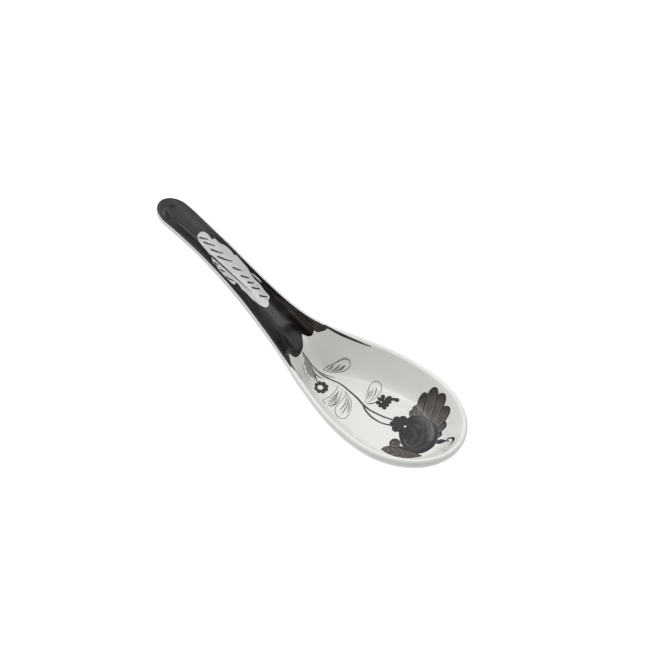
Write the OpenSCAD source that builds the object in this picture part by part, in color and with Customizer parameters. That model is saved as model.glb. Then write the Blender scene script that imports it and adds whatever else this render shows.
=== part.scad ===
// Porcelain soup spoon: a flat-bottomed bowl with a grooved handle climbing out of it, decorated with fired
// enamel. Stations along the spoon are in millimetres from the lip's middle at the handle's tip, for a spoon
// 140 mm long and 43.8 mm wide, and stretch with it. The enamel pieces are thin sheets laid on the glaze.

/* [Porcelain] */
// Length from the handle's tip to the bowl's end
spoon_length = 140; // [130:1:150]
// Width of the bowl at its widest, over the lip
bowl_width = 43.8; // [41:0.2:47]
// Width of the handle, over its rounded edges
handle_width = 12.9; // [12:0.1:14]
// Height of the handle's tip above the bowl's rim
handle_rise = 36; // [32:0.5:40]
// Depth of the bowl's floor below the middle of its lip
bowl_depth = 10.4; // [9.6:0.1:11]
// Height of the middle of the bowl's lip above the table
rim_height = 13.8; // [13.4:0.1:15]
// Radius of the rounded lip and handle edges
lip_radius = 1.15; // [1:0.05:1.25]

/* [Enamel] */
// Thickness of the fired enamel
enamel = 0.15; // [0.1:0.05:0.3]
// Width of a stem
stem_line = 0.75; // [0.5:0.05:1]
// Width of the fine lines that draw the leaves
fine_line = 0.4; // [0.3:0.05:0.5]
// Radius of the big round bloom
bloom_radius = 7.2; // [6:0.1:7.6]

/* [Hidden] */

stretch = spoon_length / 140;
spread = bowl_width / 43.8;
foot_x = 99;                        // station of the foot's middle, which is the origin
tip_hub = 6.8;                      // middle of the handle's rounded tip
bowl_hub = 109;                     // widest station of the bowl, where its rounded end begins
nose = 28.7;                        // from there to the lip's middle at the bowl's end
handle_half = handle_width / 2 / spread - lip_radius;
bowl_half = 21.9 - lip_radius;
fillet = 0.55;                      // share of the wall's run that curves up from the floor
lift = 0.02;                        // gap under each layer of enamel

// How far the rim has widened from handle to bowl, from 0 to 1
flare = [[12, 0], [24, 0], [42, 0.05], [56, 0.165], [66, 0.32], [76, 0.55], [90, 0.84], [100, 0.965],
  [109, 1], [112, 1]];
// Height of the lip above the bowl's rim, as a share of the handle's rise
climb = [[0, 1], [12, 0.91], [26, 0.755], [42, 0.51], [54, 0.314], [64, 0.186], [76, 0.103], [92, 0.044],
  [108, 0.004], [122, -0.004], [138, 0.004]];
// Height of the inside along the middle, from the groove in the handle down the ramp to the floor
groove_rise = 0.2;
middle = [[46, rim(46) + groove_rise], [54, rim(54) + groove_rise], [60, 7.8], [66, 1.6], [70, -5.2],
  [74, 0.5 - bowl_depth], [78, -0.8 - bowl_depth], [84, -0.7 - bowl_depth], [96, -0.2 - bowl_depth],
  [110, -bowl_depth], [138, -bowl_depth]];
// Half width of the flat middle of the inside, up to where the walls begin to rise
flat_half = [[40, 0.8], [52, 0.9], [62, 1.4], [70, 3.0], [76, 4.8], [84, 7.6], [92, 9.7], [100, 11.1],
  [109, 11.6], [114, 11.6]];
// Height of the underside along the middle, above the table once it passes the foot's heel
underside = [[0, handle_rise - 2.4], [12, rim(12) - 2.6], [26, rim(26) - 2.8], [42, rim(42) - 3.2],
  [52, rim(52) - 4.2], [60, 1.5], [66, -5.5], [70, 3.8 - rim_height], [73, 1.3 - rim_height],
  [76, 0.3 - rim_height], [80, -0.1 - rim_height], [138, -0.1 - rim_height]];

// Smooth curve through stations [x, value]
function grade(p, i) = let (a = max(i - 1, 0), b = min(i + 1, len(p) - 1))
  (p[b][1] - p[a][1]) / (p[b][0] - p[a][0]);
function span_of(p, x, i = 0) = i > len(p) - 3 || x < p[i + 1][0] ? i : span_of(p, x, i + 1);
function along(p, x) =
  let (i = span_of(p, x), h = p[i + 1][0] - p[i][0], t = max(0, min(1, (x - p[i][0]) / h)))
  (2 * t ^ 3 - 3 * t ^ 2 + 1) * p[i][1] + (t ^ 3 - 2 * t ^ 2 + t) * h * grade(p, i)
  + (3 * t ^ 2 - 2 * t ^ 3) * p[i + 1][1] + (t ^ 3 - t ^ 2) * h * grade(p, i + 1);

// The lip's middle and the two skins at a station
function rim(x) = handle_rise * along(climb, x);
function half_width(x) = handle_half + (bowl_half - handle_half) * along(flare, x);
function inside(x) = x < 46 ? rim(x) + groove_rise : along(middle, x);
function below(x) = max(along(underside, x), -rim_height);

// A spoke runs outwards from a hub on the middle line to the lip: [hub, vector to the lip's middle]. The wall
// leaves the flat middle in a fillet, then runs straight at its tilt to meet the round lip.
function flat_reach(spoke) = norm(spoke[1]) * along(flat_half, spoke[0]) / half_width(spoke[0]);
function tilt(spoke, x) = atan((rim(spoke[0] + spoke[1].x) - inside(x) + lip_radius)
  / (norm(spoke[1]) - flat_reach(spoke)) / (1 - fillet / 2));

// Height of the glazed inside, lip included, at a distance out along a spoke
function skin(spoke, e) =
  let (x = spoke[0] + spoke[1].x * e / norm(spoke[1]), reach = norm(spoke[1]), flat = flat_reach(spoke),
    a = tilt(spoke, x), top = rim(spoke[0] + spoke[1].x), wall = reach - lip_radius * sin(a),
    s = max(0, (e - flat) / (wall - flat)), rise = top + lip_radius * cos(a) - inside(x))
  e > wall ? top + sqrt(max(0, lip_radius ^ 2 - (e - reach) ^ 2))
  : inside(x) + rise / (1 - fillet / 2) * (s < fillet ? s ^ 2 / 2 / fillet : s - fillet / 2);

// The spoke through a point in plan, and the glaze there
function spoke_at(p) =
  let (hub = max(tip_hub, min(bowl_hub, p.x)), w = half_width(hub), long = p.x > bowl_hub ? nose : tip_hub,
    d = [p.x - hub, p.y], share = norm([d.x / long, d.y / w]))
  share < 0.001 ? [hub, [0, w]] : [hub, d / share];
function glaze(p) = let (spoke = spoke_at(p)) [p.x, p.y, skin(spoke, norm([p.x - spoke[0], p.y]))];
function above_glaze(p, h) =
  let (a = glaze(p), n = cross(glaze(p + [0.05, 0]) - a, glaze(p + [0, 0.05]) - a)) a + n / norm(n) * h;
function place(p) = [(p.x - foot_x) * stretch, p.y * spread, p.z + rim_height];

// Spokes all round the outline, from the handle's tip along +Y to the bowl's end and back
tip_steps = 7;
side_steps = 54;
nose_steps = 16;
half_outline = [
  for (i = [0:tip_steps - 1]) let (a = 90 * i / tip_steps)
    [tip_hub, [-tip_hub * cos(a), handle_half * sin(a)]],
  for (i = [0:side_steps]) let (x = tip_hub + (bowl_hub - tip_hub) * i / side_steps) [x, [0, half_width(x)]],
  for (i = [1:nose_steps]) let (a = 90 * i / nose_steps) [bowl_hub, [nose * sin(a), bowl_half * cos(a)]]
];
outline = [each half_outline, for (i = [len(half_outline) - 2:-1:1])
  [half_outline[i][0], [half_outline[i][1].x, -half_outline[i][1].y]]];

// Points along one spoke, out over the glazed inside, round the lip and back under the spoon
wall_shares = [0.1, 0.2, 0.32, 0.44, 0.56, 0.78, 1];
lip_steps = 6;
under_steps = 7;
foot_share = 0.46;                  // reach of the underside's flat middle
belly = 0.02;                       // how far the bowl's outside bulges before it turns under
function bezier(a, b, c, d, t) =
  a * (1 - t) ^ 3 + 3 * b * t * (1 - t) ^ 2 + 3 * c * t ^ 2 * (1 - t) + d * t ^ 3;
function section(spoke) =
  let (reach = norm(spoke[1]), way = spoke[1] / reach, flat = flat_reach(spoke),
    top = rim(spoke[0] + spoke[1].x), a = tilt(spoke, spoke[0] + spoke[1].x),
    wall = reach - lip_radius * sin(a), edge = reach + lip_radius,
    foot = foot_share * reach, low = below(spoke[0] + way.x * foot),
    side = 1 + 0.06 * (top - low) + belly * (half_width(spoke[0]) / bowl_half) ^ 6 * (top - low) ^ 2,
    inner = [for (e = [flat / 2, flat, for (s = wall_shares) flat + (wall - flat) * s]) [e, skin(spoke, e)]],
    lip = [for (i = [1:lip_steps]) let (turn = (90 + a) * (1 - i / lip_steps))
      [reach + lip_radius * cos(turn), top + lip_radius * sin(turn)]],
    outer = [for (i = [1:under_steps])
      bezier([edge, top], [edge, top - side], [foot + 0.2 * reach, low], [foot, low], i / under_steps)],
    heel = [[foot / 2, below(spoke[0] + way.x * foot / 2)]])
  [for (q = [each inner, each lip, each outer, each heel])
    place([spoke[0] + way.x * q[0], way.y * q[0], q[1]])];

// The one fired piece: rings of points nest from the middle line of the inside to that of the underside
module porcelain_body() {
  rings = len(section(outline[0]));
  m = len(outline);
  mids = side_steps + 1;
  sections = [for (s = outline) section(s)];
  points = [for (k = [0:rings - 1], j = [0:m - 1]) sections[j][k],
    for (i = [0:side_steps]) let (x = half_outline[tip_steps + i][0]) place([x, 0, inside(x)]),
    for (i = [0:side_steps]) let (x = half_outline[tip_steps + i][0]) place([x, 0, below(x)])];
  mid = function (j) max(0, min(side_steps, min(j, m - j) - tip_steps));
  faces = [
    for (j = [0:m - 1]) let (n = (j + 1) % m, in = rings * m, out = in + mids, last = (rings - 1) * m)
      each [
        for (k = [0:rings - 2]) each [[k * m + j, (k + 1) * m + j, (k + 1) * m + n],
          [k * m + j, (k + 1) * m + n, k * m + n]],
        [in + mid(j), j, n],
        if (mid(j) != mid(n)) [in + mid(j), n, in + mid(n)],
        [out + mid(j), last + n, last + j],
        if (mid(j) != mid(n)) [out + mid(n), last + n, out + mid(j)]
      ]
  ];
  color("whitesmoke") polyhedron(points, faces);
}

// A closed sheet of enamel on a grid of plan points, with cells left out where hole(row, column) holds. It lies
// on the glaze, or on the enamel below it where layer is 1.
module sheet(rows, closed = false, layer = 0, hole = function (i, k) false) {
  n = len(rows);
  m = len(rows[0]);
  last = closed ? n - 1 : n - 2;
  foot = lift + layer * (lift + enamel);
  points = [for (h = [foot, foot + enamel], row = rows, p = row) place(above_glaze(p, h))];
  filled = function (i, k) k >= 0 && k < m - 1 && (closed || (i >= 0 && i <= last)) && !hole(i, k);
  at = function (i, k, up) ((i + n) % n) * m + k + (up ? n * m : 0);
  quad = function (a, b, c, d) [[a, b, c], [a, c, d]];
  wall = function (i, k, i2, k2)
    quad(at(i2, k2, false), at(i, k, false), at(i, k, true), at(i2, k2, true));
  faces = [for (i = [0:last], k = [0:m - 2]) if (!hole(i, k)) each [
    each quad(at(i, k, true), at(i, k + 1, true), at(i + 1, k + 1, true), at(i + 1, k, true)),
    each quad(at(i, k, false), at(i + 1, k, false), at(i + 1, k + 1, false), at(i, k + 1, false)),
    if (!filled(i, k - 1)) each wall(i, k, i + 1, k),
    if (!filled(i, k + 1)) each wall(i + 1, k + 1, i, k + 1),
    if (!filled(i - 1, k)) each wall(i, k + 1, i, k),
    if (!filled(i + 1, k)) each wall(i + 1, k, i + 1, k + 1)
  ]];
  polyhedron(points, faces);
}

// A brush stroke: a sheet along a path, whose width in the middle of each step is width(share of its length)
function taper(w) = function (t) w * (0.3 + 0.7 * sin(180 * t));
module stroke(path, width, columns = 1, layer = 0) {
  n = len(path) - 1;
  sheet([for (i = [0:n])
    let (d = path[min(i + 1, n)] - path[max(i - 1, 0)], side = [-d.y, d.x] / norm(d) * width(i / n) / 2)
    [for (k = [0:columns]) path[i] + side * (2 * k / columns - 1)]], layer = layer);
}
function bow(a, b, bend, n = 8) = let (d = b - a, side = [-d.y, d.x])
  [for (i = [0:n]) let (t = i / n) a + d * t + side * bend * 4 * t * (1 - t)];
function sweep(a, b, c, d, n = 12) = [for (i = [0:n]) bezier(a, b, c, d, i / n)];

// A petal or solid leaf: a wide stroke, narrow at its foot and round at its end
function petal_width(w) = function (t)
  w * (0.2 + 0.8 * sin(90 * min(1, t / 0.6))) * sqrt(max(0.02, 1 - max(0, (t - 0.6) / 0.4) ^ 2));
module petal(a, b, w, bend = 0) stroke(bow(a, b, bend, 9), petal_width(w), 3);

// A leaf drawn in line: its outline leaves the stalk at a, rounds its end at b, and holds a few veins
module line_leaf(a, b, w, veins, lean = 0) {
  d = b - a;
  side = [-d.y, d.x] / norm(d);
  inside_leaf = function (t, s) a + d * t + side * (s * w / 2 + lean * 4 * t * (1 - t));
  stroke([for (i = [0:28]) let (turn = 8 + 344 * i / 28, t = (1 - cos(turn)) / 2)
    inside_leaf(t, sin(turn) * (0.25 + t))], function (t) fine_line * (0.7 + 0.3 * sin(180 * t)));
  for (v = [0:veins - 1]) let (s = veins > 1 ? 2 * v / (veins - 1) - 1 : 0)
    stroke([for (i = [0:6]) let (t = 0.2 + (0.52 - 0.1 * abs(s)) * i / 6) inside_leaf(t, 0.62 * s * t ^ 0.8)],
      taper(fine_line * 1.3));
}

// A ruffled blossom: a ring with rounded lobes and an open eye
module blossom(at, r, eye, lobes, depth, turn = 0, layer = 0) {
  n = lobes * 6;
  sheet([for (i = [0:n - 1]) let (a = 360 * i / n, way = [cos(a), sin(a)],
    edge = r * (1 - depth + depth * abs(cos(lobes * (a - turn) / 2))))
    [at + way * edge, at + way * (edge + eye) / 2, at + way * eye]], closed = true, layer = layer);
}

// The dark ground over the handle's groove. The feather is left bare: its two long edges are grid columns.
ground_start = -0.8;
feather_from = 16.5;
feather_to = 50;
ground_end = [[-1, 71], [-0.86, 66.5], [-0.6, 67], [-0.33, 67.5], [-0.05, 67], [0.15, 66], [0.3, 64.8],
  [0.42, 65.8], [0.54, 65.4], [0.62, 66.4], [0.72, 67.6], [0.82, 67.8], [0.9, 69], [1, 71.5]];
feather_far = [[16.5, 0.6], [17.6, 2.2], [20, 2.7], [22.6, 2.3], [25, 3.6], [28, 4.1], [30.5, 4], [33, 4.4],
  [36.5, 4.1], [40, 3.9], [44, 3.5], [47, 3.2], [49, 2.2], [50, 0.7]];
feather_near = [[16.5, 0.2], [18, -1.4], [21, -2.6], [25, -3.3], [27.5, -3.9], [31, -4.2], [34.5, -4.1],
  [37.5, -3.6], [38.6, -2.9], [42, -3.1], [46, -2.8], [48.6, -1.6], [50, 0.3]];
module handle_ground() {
  before = 12;
  over = 26;
  after = 16;
  outer_columns = 4;
  reserve = 2;
  ground_half = function (x) (half_width(x) + 0.1)
    * (x < tip_hub ? sqrt(max(0.02, 1 - ((tip_hub - x) / (tip_hub - ground_start)) ^ 2)) : 1);
  edge_at = function (edge, x) along(edge, max(feather_from, min(feather_to, x)));
  stations = [
    for (i = [0:before - 1]) ground_start + (feather_from - ground_start) * (1 - cos(90 * i / before)),
    for (i = [0:over]) feather_from + (feather_to - feather_from) * (1 - cos(180 * i / over)) / 2,
    for (i = [1:after]) feather_to + i
  ];
  fade = function (x) x < feather_from ? (x - ground_start) / (feather_from - ground_start)
    : max(0, 1 - max(0, x - feather_to) / after);
  rows = [for (x = stations)
    let (w = ground_half(x), near = edge_at(feather_near, x), far = edge_at(feather_far, x),
      near_share = near / w * fade(x) - (1 - fade(x)) / 3, far_share = far / w * fade(x) + (1 - fade(x)) / 3)
    [for (share = [
        for (k = [0:outer_columns]) -1 + (near_share + 1) * k / outer_columns,
        for (k = [1:reserve - 1]) near_share + (far_share - near_share) * k / reserve,
        for (k = [0:outer_columns]) far_share + (1 - far_share) * k / outer_columns])
      let (late = max(0, x - feather_to) / after,
        end_x = x + late * (along(ground_end, share) - feather_to - after))
      [end_x, share * ground_half(end_x)]]];
  color("#2b2a2c") sheet(rows, hole = function (i, k)
    i >= before && i < before + over && k >= outer_columns && k < outer_columns + reserve);
}

// Thin lines that carry the dark ground on along the inside of the lip, dying out
module rim_line(side, to) color("#2b2a2c")
  stroke([for (i = [0:14]) let (x = 71 + (to - 71) * i / 14) [x, side * (half_width(x) - 1.1)]],
    function (t) 1.1 * (1 - 0.8 * t));
module far_rim_line() rim_line(1, 86);
module near_rim_line() rim_line(-1, 84);

// Short slanted strokes in the bare feather, in a long row and a short one beside the quill
module feather_barbs() color("#3a3532") {
  for (i = [0:8]) let (x = 18.4 + 3.35 * i, mid = 0.9 - 0.12 * abs(i - 4))
    stroke(bow([x, mid - 1.4], [x + 2.5, mid + 0.9], 0.06, 5), taper(0.75));
  for (i = [0:3]) let (x = 27.6 + 2.6 * i) stroke(bow([x, -3.6], [x + 1.7, -2.7], 0.06, 4), taper(0.5));
}
module feather_quill() color("#3a3532")
  stroke(sweep([26, -3.1], [31, -2.2], [36, -1.6], [42, -0.9]), function (t) 0.75 * (1 - 0.75 * t));

// Stems: one from the ground to a fork, and two that run on from it, side by side at first, to the bloom
fork = [95, 0.6];
module main_stem() color("#4a4240") {
  stroke([each sweep([67.6, -0.9], [73, 0.3], [78, 3.4], [84.5, 3], 16),
    each [for (p = sweep([84.5, 3], [89, 2.6], [92, 1.8], fork)) if (p.x > 84.6) p]],
    function (t) stem_line * (0.6 + 0.4 * t));
  stroke(sweep(fork + [0.3, 0.35], [99, -0.2], [103, 0.2], [109.3, 2.6]), function (t) stem_line * 0.85);
  stroke(sweep(fork + [0.1, -0.45], [98, -3.2], [103, -3], [109.6, 0.2]), function (t) stem_line * 0.85);
}

// Grey leaves and tendrils that wrap the first part of the stem
module stem_foliage() color("#6d6663") {
  for (i = [0:4]) let (x = 68.6 + 1.25 * i)
    stroke(bow([x, -0.9 + 0.25 * i], [x + 2.6, -2.9 + 0.28 * i], 0.14, 6), taper(0.8), layer = 1);
  stroke(sweep([68, -1.6], [70, -3.8], [72.4, -4.7], [75.2, -4.3]), taper(fine_line), layer = 1);
  stroke(sweep([73.6, 1.6], [77, 4.1], [80, 4.9], [84, 4.6]), taper(fine_line), layer = 1);
  stroke(sweep([74.6, 1], [76.5, 1.4], [78.2, 1.2], [79.6, 0.4]), taper(fine_line), layer = 1);
}
module upper_leaf() color("#6d6663") line_leaf([73.7, 3.9], [81, 10.8], 4, 3, 0.3);
module fork_leaf() color("#6d6663") line_leaf([94.9, 2.2], [93.5, 12], 4.8, 3, -0.3);
module long_hanging_leaf() color("#6d6663") line_leaf([86.2, 1.2], [91.8, -9.2], 4.8, 3, 0.5);
module short_hanging_leaf() color("#6d6663") line_leaf([82, 2.1], [83.4, -7.3], 3.6, 3, -0.4);

// Small black blossoms on their stalks
module ring_blossom() color("#2b2a2c") {
  blossom([77, -2.7], 2.6, 1.15, 8, 0.2);
  stroke(bow([73.9, 0.4], [75.6, -0.6], -0.1, 4), taper(0.45));
}
module twig_blossom() color("#2b2a2c") {
  blossom([99.3, 6], 2.3, 0.45, 4, 0.42, 20);
  stroke(bow([95.8, 1.1], [98.1, 4.4], -0.15, 6), taper(0.5));
  petal([101.3, 7.6], [103.1, 9.4], 1.7);
  petal([103.6, 9.9], [104.7, 11.5], 1.1);
}

// The bloom: a round heart, a ruffled collar where the stems meet it, and a fan of petals behind
heart = [119.1, 2.6];
heart_lean = [0.6, -0.8];            // the way of the heart's longer axis
module bloom_heart() color("#25272c")
  stroke([for (i = [0:14]) heart - heart_lean * 1.2 * bloom_radius * cos(8 + 164 * i / 14)],
    function (t) 2 * bloom_radius * sin(8 + 164 * t), 8, 1);
petals = 8;
fan_from = 147;
fan_turn = 17.5;                    // angle that each petal fills
petal_steps = 6;
module bloom_petals() color("#4d4744")
  sheet([for (i = [0:petals * petal_steps])
    let (turn = i / petal_steps, a = fan_from - fan_turn * turn, way = [cos(a), sin(a)],
      reach = 12.6 + 4.6 * sin(180 * turn / petals), notch = 1 - 0.2 * (1 - abs(sin(180 * turn)) ^ 0.5))
    [for (k = [0:4]) heart + way * (bloom_radius + 0.3 + (reach * notch - bloom_radius - 0.3) * k / 4)]]);
module bloom_collar() color("#25272c") blossom([111.6, 2.2], 3.8, 0.5, 7, 0.22, 10, layer = 2);
module lower_leaf() color("#4d4744")
  stroke(sweep([112.2, -10.9], [116, -9.4], [121, -8.6], [126.4, -5.6], 22),
    function (t) 4.6 * (0.04 + sin(180 * t ^ 0.8)) * (0.86 + 0.14 * cos(2520 * t)), 4);
module curled_sepal() color("#4d4744") blossom([113.3, -5.9], 1.7, 0.6, 3, 0.18, 40);
module end_bud() color("#25272c") {
  stroke(bow([126.6, 3.4], [130.6, 4], 0.05, 8), function (t) 1.9 * (0.15 + sin(180 * t)), 2);
  stroke([for (i = [0:7]) let (a = 120 - 30 * i) [131.9, 3.2] + 1.1 * [cos(a), sin(a)]], taper(0.55));
}

porcelain_body();
handle_ground();
far_rim_line();
near_rim_line();
feather_barbs();
feather_quill();
main_stem();
stem_foliage();
upper_leaf();
fork_leaf();
long_hanging_leaf();
short_hanging_leaf();
ring_blossom();
twig_blossom();
bloom_heart();
bloom_petals();
bloom_collar();
lower_leaf();
curled_sepal();
end_bud();
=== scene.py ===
import math

import bpy
import numpy as np
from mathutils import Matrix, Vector
from mathutils.geometry import delaunay_2d_cdt


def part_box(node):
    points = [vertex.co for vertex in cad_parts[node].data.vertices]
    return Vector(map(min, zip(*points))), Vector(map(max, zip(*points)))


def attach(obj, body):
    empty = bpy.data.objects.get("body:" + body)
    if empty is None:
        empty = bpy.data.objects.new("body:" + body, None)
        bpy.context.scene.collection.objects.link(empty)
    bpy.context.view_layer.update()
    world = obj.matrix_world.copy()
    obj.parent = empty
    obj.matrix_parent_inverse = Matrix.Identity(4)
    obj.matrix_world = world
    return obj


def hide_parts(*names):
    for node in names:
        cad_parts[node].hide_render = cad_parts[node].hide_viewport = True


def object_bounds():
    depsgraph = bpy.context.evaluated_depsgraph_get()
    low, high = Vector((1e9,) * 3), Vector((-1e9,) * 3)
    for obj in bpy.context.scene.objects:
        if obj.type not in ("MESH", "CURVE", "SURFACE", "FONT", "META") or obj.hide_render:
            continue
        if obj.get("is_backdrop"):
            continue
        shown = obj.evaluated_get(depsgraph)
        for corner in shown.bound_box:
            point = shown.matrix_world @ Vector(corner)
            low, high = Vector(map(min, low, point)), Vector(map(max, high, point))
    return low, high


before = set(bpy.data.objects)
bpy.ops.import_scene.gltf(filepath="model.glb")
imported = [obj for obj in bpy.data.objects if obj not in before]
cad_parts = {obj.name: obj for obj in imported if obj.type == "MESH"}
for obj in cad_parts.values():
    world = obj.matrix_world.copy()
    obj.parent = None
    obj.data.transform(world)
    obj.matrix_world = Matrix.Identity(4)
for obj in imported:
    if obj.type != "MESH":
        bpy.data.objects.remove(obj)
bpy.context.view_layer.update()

body_low, body_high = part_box("porcelain_body")

# ---------------------------------------------------------------- the porcelain's shape, in stations
LENGTH, WIDTH = 140.0, 43.8
RIM_HEIGHT = 13.8                # middle of the bowl's lip above the table
HANDLE_RISE = 36.0               # handle's tip above the bowl's rim
BOWL_DEPTH = 10.4
LIP = 1.15                       # radius of the round lip
FOOT_X = 99.0                    # station of the foot's middle, the frame's origin
TIP_HUB = 6.8                    # middle of the handle's round tip
BOWL_HUB = 109.0                 # widest station, where the bowl's round end begins
NOSE = 28.7                      # from there to the lip's middle at the bowl's end
HANDLE_HALF = 5.3
BOWL_HALF = WIDTH / 2 - LIP
FILLET = 0.55                    # share of the wall's run that curves up from the floor
GROOVE_RISE = 0.2
FOOT_SHARE = 0.46                # how far out along each spoke the underside's flat middle reaches
BELLY = 0.02                     # how far the bowl's outside bulges before it turns under
STRETCH = np.array([
    (body_high.x - body_low.x) / LENGTH,
    (body_high.y - body_low.y) / WIDTH,
    body_high.z / (RIM_HEIGHT + HANDLE_RISE + LIP)])

FLARE = [[12, 0], [24, 0], [42, 0.05], [56, 0.165], [66, 0.32], [76, 0.55], [90, 0.84], [100, 0.965],
         [109, 1], [112, 1]]
CLIMB = [[0, 1], [12, 0.91], [26, 0.755], [42, 0.51], [54, 0.314], [64, 0.186], [76, 0.103], [92, 0.044],
         [108, 0.004], [122, -0.004], [138, 0.004]]
FLAT_HALF = [[40, 0.8], [52, 0.9], [62, 1.4], [70, 3.0], [76, 4.8], [84, 7.6], [92, 9.7], [100, 11.1],
             [109, 11.6], [114, 11.6]]


def along(table, x):
    """Smooth curve through a table of [x, value], at x."""
    at, value = np.array(table, float).T
    x = np.asarray(x, float)
    slope = np.empty(len(at))
    slope[1:-1] = (value[2:] - value[:-2]) / (at[2:] - at[:-2])
    slope[0] = (value[1] - value[0]) / (at[1] - at[0])
    slope[-1] = (value[-1] - value[-2]) / (at[-1] - at[-2])
    i = np.clip(np.searchsorted(at, x, side="right") - 1, 0, len(at) - 2)
    h = at[i + 1] - at[i]
    t = np.clip((x - at[i]) / h, 0, 1)
    return ((2 * t**3 - 3 * t**2 + 1) * value[i] + (t**3 - 2 * t**2 + t) * h * slope[i]
            + (3 * t**2 - 2 * t**3) * value[i + 1] + (t**3 - t**2) * h * slope[i + 1])


def rim(x):
    """Height of the lip's middle above that of the bowl's lip."""
    return HANDLE_RISE * along(CLIMB, x)


def half_width(x):
    """From the middle line out to the lip's middle."""
    return HANDLE_HALF + (BOWL_HALF - HANDLE_HALF) * along(FLARE, x)


GROOVE_END = 46
MIDDLE = [[46, rim(46) + GROOVE_RISE], [54, rim(54) + GROOVE_RISE], [60, 7.8], [66, 1.6], [70, -5.2],
          [74, 0.5 - BOWL_DEPTH], [78, -0.8 - BOWL_DEPTH], [84, -0.7 - BOWL_DEPTH], [96, -0.2 - BOWL_DEPTH],
          [110, -BOWL_DEPTH], [138, -BOWL_DEPTH]]
UNDERSIDE = [[0, HANDLE_RISE - 2.4], [12, rim(12) - 2.6], [26, rim(26) - 2.8], [42, rim(42) - 3.2],
             [52, rim(52) - 4.2], [60, 1.5], [66, -5.5], [70, 3.8 - RIM_HEIGHT], [73, 1.3 - RIM_HEIGHT],
             [76, 0.3 - RIM_HEIGHT], [80, -0.1 - RIM_HEIGHT], [138, -0.1 - RIM_HEIGHT]]


def inside(x):
    """Height of the upper surface along the middle line."""
    return np.where(x < GROOVE_END, rim(x) + GROOVE_RISE, along(MIDDLE, x))


def below(x):
    """Height of the underside along the middle line, level at the foot."""
    return np.maximum(along(UNDERSIDE, x), -RIM_HEIGHT)


def flat_reach(hub, reach):
    """How far out along a spoke the level middle goes before the wall begins."""
    return reach * along(FLAT_HALF, hub) / half_width(hub)


def tilt(hub, way, x):
    """Angle of the wall above level, for spokes that run from their hubs by the vectors way."""
    reach = np.linalg.norm(way, axis=-1)
    rise = rim(hub + way[..., 0]) - inside(x) + LIP
    return np.arctan(rise / (reach - flat_reach(hub, reach)) / (1 - FILLET / 2))


def skin(hub, way, e):
    """Height of the glazed inside, lip included, at a distance e out along each spoke."""
    reach = np.linalg.norm(way, axis=-1)
    x = hub + way[..., 0] * e / reach
    flat, top, a = flat_reach(hub, reach), rim(hub + way[..., 0]), tilt(hub, way, x)
    wall = reach - LIP * np.sin(a)
    s = np.maximum(0, (e - flat) / (wall - flat))
    rise = top + LIP * np.cos(a) - inside(x)
    climbed = np.where(s < FILLET, s**2 / 2 / FILLET, s - FILLET / 2)
    return np.where(e > wall, top + np.sqrt(np.maximum(0, LIP**2 - (e - reach)**2)),
                    inside(x) + rise / (1 - FILLET / 2) * climbed)


def glaze(plan):
    """The points on the glaze above plan points."""
    x, y = plan[:, 0], plan[:, 1]
    hub = np.clip(x, TIP_HUB, BOWL_HUB)
    out = np.stack([x - hub, y], axis=1)
    long = np.where(x > BOWL_HUB, NOSE, TIP_HUB)
    share = np.hypot(out[:, 0] / long, y / half_width(hub))
    middle = share < 0.001
    way = np.where(middle[:, None], np.stack([0 * hub, half_width(hub)], axis=1),
                   out / np.maximum(share, 0.001)[:, None])
    return np.column_stack([x, y, skin(hub, way, np.linalg.norm(out, axis=1))])


def glaze_and_normal(plan):
    step = 0.05
    at = glaze(plan)
    normal = np.cross(glaze(plan + [step, 0]) - at, glaze(plan + [0, step]) - at)
    return at, normal / np.linalg.norm(normal, axis=1)[:, None]


def place(points):
    """Stations to metres in the frame."""
    return (np.asarray(points, float) - [FOOT_X, 0, -RIM_HEIGHT]) * STRETCH


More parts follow.
